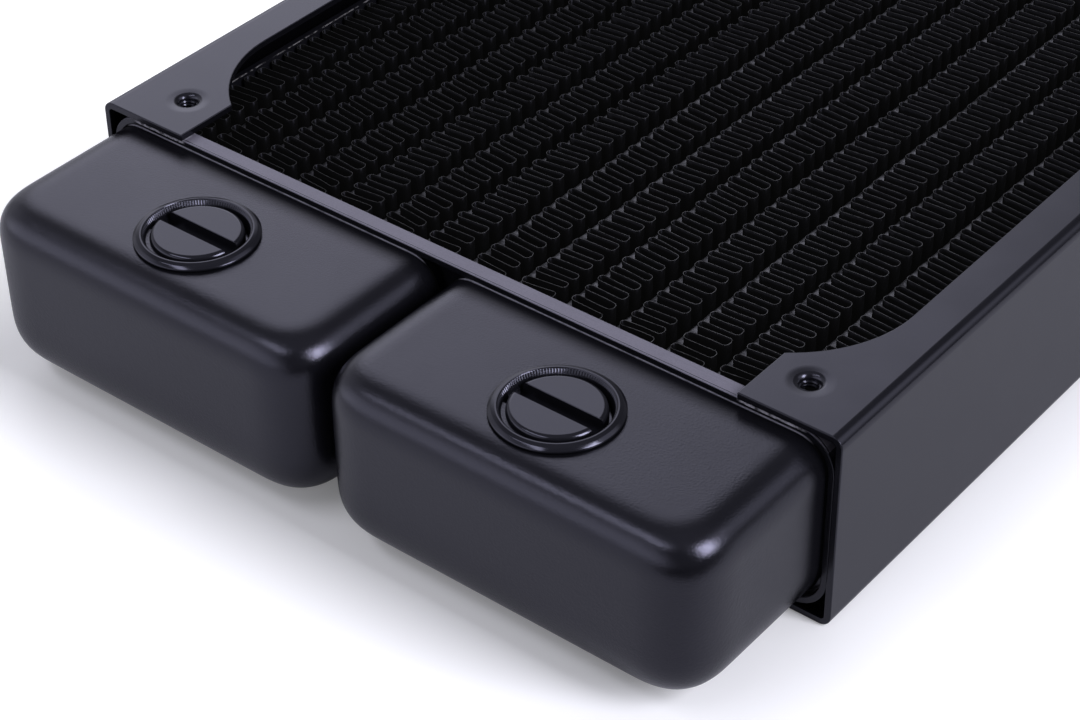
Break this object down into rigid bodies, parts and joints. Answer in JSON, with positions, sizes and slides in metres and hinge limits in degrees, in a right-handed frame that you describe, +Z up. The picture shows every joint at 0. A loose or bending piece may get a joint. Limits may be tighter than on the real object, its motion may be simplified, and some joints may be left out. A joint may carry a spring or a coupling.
{
  "type": "liquid cooling radiator",
  "caption": "Slim liquid cooling radiator with port tanks at one end, a folded fin core, folded side frames with screw holes, and slotted port plugs.",
  "frame": {"origin": "middle of the underside of the object's box", "axes": "+X across the width, +Y along the length from the ports to the far end, +Z up out of the face with the ports"},
  "size_m": [0.124, 0.157, 0.03],
  "materials": {
    "frame_paint": "satin black powder coat on folded sheet",
    "tank_paint": "satin black coat on a drawn tank",
    "header_paint": "satin black coat, slightly worn along the rim",
    "side_plate_paint": "thin black paint",
    "fin_paint": "thin matt black paint, worn along the fin edges",
    "tube_paint": "thin black paint",
    "plug_black": "smooth black with a glossy ring",
    "boss_brass": "turned brass",
    "seal_rubber": "black seal rubber"
  },
  "bodies": {
    "radiator": {"centre_spacer": "tube_paint", "core_side_plate_left": "side_plate_paint", "core_side_plate_right": "side_plate_paint", "fin_strip_01": "fin_paint", "fin_strip_02": "fin_paint", "fin_strip_03": "fin_paint", "fin_strip_04": "fin_paint", "fin_strip_05": "fin_paint", "fin_strip_06": "fin_paint", "fin_strip_07": "fin_paint", "fin_strip_08": "fin_paint", "fin_strip_09": "fin_paint", "fin_strip_10": "fin_paint", "fin_strip_11": "fin_paint", "fin_strip_12": "fin_paint", "fin_strip_13": "fin_paint", "fin_strip_14": "fin_paint", "header_plate_front": "header_paint", "header_plate_rear": "header_paint", "port_boss_left": "boss_brass", "port_boss_right": "boss_brass", "side_frame_left": "frame_paint", "side_frame_right": "frame_paint", "tank_inlet": "tank_paint", "tank_outlet": "tank_paint", "tank_return": "tank_paint", "tube_01": "tube_paint", "tube_02": "tube_paint", "tube_03": "tube_paint", "tube_04": "tube_paint", "tube_05": "tube_paint", "tube_06": "tube_paint", "tube_07": "tube_paint", "tube_08": "tube_paint", "tube_09": "tube_paint", "tube_10": "tube_paint", "tube_11": "tube_paint", "tube_12": "tube_paint"},
    "left_seal": {"o_ring_left": "seal_rubber"},
    "left_plug": {"port_plug_left": "plug_black"},
    "right_seal": {"o_ring_right": "seal_rubber"},
    "right_plug": {"port_plug_right": "plug_black"}
  },
  "joints": [
    {"name": "left_plug_lift", "type": "slide", "parent": "radiator", "child": "left_seal", "axis": [0, 0, 1], "range_m": [0, 0.00612]},
    {"name": "left_plug_turn", "type": "hinge", "parent": "left_seal", "child": "left_plug", "pos_m": [-0.0302, -0.0655, 0.0279], "axis": [0, 0, 1], "range_deg": [0, 1620]},
    {"name": "right_plug_lift", "type": "slide", "parent": "radiator", "child": "right_seal", "axis": [0, 0, 1], "range_m": [0, 0.00612]},
    {"name": "right_plug_turn", "type": "hinge", "parent": "right_seal", "child": "right_plug", "pos_m": [0.0302, -0.0655, 0.0279], "axis": [0, 0, 1], "range_deg": [0, 1620]}
  ],
  "couplings": [
    {"joint": "left_plug_lift", "follows": "left_plug_turn", "m_per_rad": 0.00021279},
    {"joint": "right_plug_lift", "follows": "right_plug_turn", "m_per_rad": 0.00021279}
  ]
}
